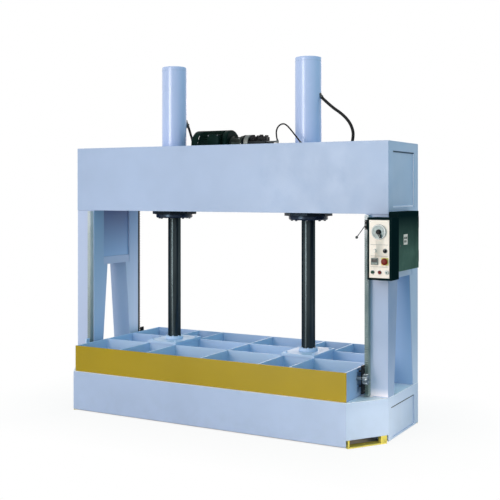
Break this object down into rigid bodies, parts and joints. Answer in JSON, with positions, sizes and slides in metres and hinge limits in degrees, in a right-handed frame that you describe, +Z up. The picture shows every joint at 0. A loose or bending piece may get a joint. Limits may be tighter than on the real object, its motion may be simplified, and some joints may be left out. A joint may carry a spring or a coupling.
{
  "type": "two-cylinder hydraulic cold press",
  "caption": "Hydraulic cold press for flat wood panels: box beam on slanted-leg columns, cylinders above, ribbed platen kept level by racks and pinions.",
  "frame": {"origin": "centre of the machine's footprint, on the floor", "axes": "+Z up, +X along the press towards the operator's control box, -Y towards the operator"},
  "size_m": [2.9403, 1.25, 2.882],
  "materials": {
    "frame_blue": "satin",
    "platen_yellow": "satin",
    "rod_chrome": "polished",
    "machined_steel": "ground",
    "greased_steel": "greasy",
    "black_paint": "satin",
    "motor_green": "satin",
    "cast_aluminium": "as cast",
    "black_rubber": "matt",
    "pad_rubber": "matt",
    "box_green": "satin",
    "panel_cream": "satin",
    "dial_white": "gloss",
    "black_plastic": "matt",
    "red_plastic": "gloss",
    "green_plastic": "gloss",
    "white_plastic": "gloss",
    "zinc_plated": "plated"
  },
  "bodies": {
    "frame": {"table_plate": "frame_blue", "base_beams": "frame_blue", "base_long_panels": "frame_blue", "base_corner_panels": "frame_blue", "base_side_panels": "frame_blue", "corner_feet": "platen_yellow", "levelling_pads": "pad_rubber", "column_left_legs": "frame_blue", "column_right_legs": "frame_blue", "column_headers": "frame_blue", "racks": "greased_steel", "beam_front_plate": "frame_blue", "beam_rear_plate": "frame_blue", "beam_bottom_plate": "frame_blue", "beam_top_plates": "frame_blue", "beam_end_plates": "frame_blue", "beam_diaphragms": "frame_blue", "oil_tank": "frame_blue", "cylinder_tubes": "frame_blue", "cylinder_flanges": "black_paint", "cylinder_glands": "black_paint", "flange_bolts": "machined_steel", "motor_housing": "motor_green", "motor_fan_cowl": "motor_green", "motor_terminal_box": "black_paint", "bellhousing": "cast_aluminium", "pump": "black_paint", "valve_block": "machined_steel", "hose_right": "black_rubber", "hose_left": "black_rubber", "hose_pilot": "black_rubber", "hose_fittings": "zinc_plated", "control_box": "box_green", "control_panel": "panel_cream", "pressure_gauge": "dial_white", "timer": "black_plastic", "electrical_cabinet": "box_green", "limit_switch": "black_plastic"},
    "platen": {"platen_plate": "frame_blue", "platen_front_rail": "platen_yellow", "platen_edge_plates": "frame_blue", "platen_long_ribs": "frame_blue", "platen_cross_ribs": "frame_blue", "rod_plates": "frame_blue", "rod_collars": "frame_blue", "piston_rods": "rod_chrome", "pistons": "machined_steel", "bearing_housings": "black_paint"},
    "front_sync_shaft": {"sync_shaft_front": "machined_steel"},
    "rear_sync_shaft": {"sync_shaft_rear": "machined_steel"},
    "limit_switch_lever": {"limit_switch_lever": "zinc_plated"},
    "cabinet_door": {"cabinet_door": "box_green"},
    "door_latch": {"door_latch": "zinc_plated"},
    "gauge_knob": {"gauge_knob": "black_plastic"},
    "selector_knob": {"selector_knob": "black_plastic"},
    "estop_button": {"estop_button": "red_plastic"},
    "start_button": {"start_button": "green_plastic"},
    "stop_button": {"stop_button": "red_plastic"},
    "jog_button": {"jog_button": "white_plastic"},
    "motor_rotor": {"motor_rotor": "machined_steel"}
  },
  "joints": [
    {"name": "platen_slide", "type": "slide", "parent": "frame", "child": "platen", "axis": [0, 0, 1], "range_m": [0, 1]},
    {"name": "front_sync_turn", "type": "hinge", "parent": "platen", "child": "front_sync_shaft", "pos_m": [0, -0.397, 0.462], "axis": [1, 0, 0], "range_deg": [-1650, 0]},
    {"name": "rear_sync_turn", "type": "hinge", "parent": "platen", "child": "rear_sync_shaft", "pos_m": [0, 0.397, 0.462], "axis": [1, 0, 0], "range_deg": [0, 1650]},
    {"name": "motor_turn", "type": "hinge", "parent": "frame", "child": "motor_rotor", "pos_m": [0, 0, 2.208], "axis": [1, 0, 0], "continuous": true},
    {"name": "gauge_knob_turn", "type": "hinge", "parent": "frame", "child": "gauge_knob", "pos_m": [1.414, -0.473, 1.532], "axis": [0, -1, 0], "range_deg": [0, 270]},
    {"name": "selector_turn", "type": "hinge", "parent": "frame", "child": "selector_knob", "pos_m": [1.46, -0.473, 1.398], "axis": [0, -1, 0], "range_deg": [-45, 45]},
    {"name": "start_press", "type": "slide", "parent": "frame", "child": "start_button", "axis": [0, 1, 0], "range_m": [0, 0.005], "stiffness_N_per_m": 400},
    {"name": "stop_press", "type": "slide", "parent": "frame", "child": "stop_button", "axis": [0, 1, 0], "range_m": [0, 0.005], "stiffness_N_per_m": 400},
    {"name": "jog_press", "type": "slide", "parent": "frame", "child": "jog_button", "axis": [0, 1, 0], "range_m": [0, 0.005], "stiffness_N_per_m": 400},
    {"name": "estop_press", "type": "slide", "parent": "frame", "child": "estop_button", "axis": [0, 1, 0], "range_m": [0, 0.005], "stiffness_N_per_m": 400},
    {"name": "limit_lever_swing", "type": "hinge", "parent": "frame", "child": "limit_switch_lever", "pos_m": [1.312, -0.474, 1.58], "axis": [0, 1, 0], "range_deg": [0, 50], "stiffness_Nm_per_rad": 0.5},
    {"name": "door_swing", "type": "hinge", "parent": "frame", "child": "cabinet_door", "pos_m": [1.501, 0.117, 1.457], "axis": [0, 0, 1], "range_deg": [0, 110]},
    {"name": "latch_turn", "type": "hinge", "parent": "cabinet_door", "child": "door_latch", "pos_m": [1.507, -0.183, 1.468], "axis": [1, 0, 0], "range_deg": [0, 90]}
  ],
  "couplings": [
    {"joint": "front_sync_turn", "follows": "platen_slide", "rad_per_m": -28.571},
    {"joint": "rear_sync_turn", "follows": "platen_slide", "rad_per_m": 28.571}
  ]
}
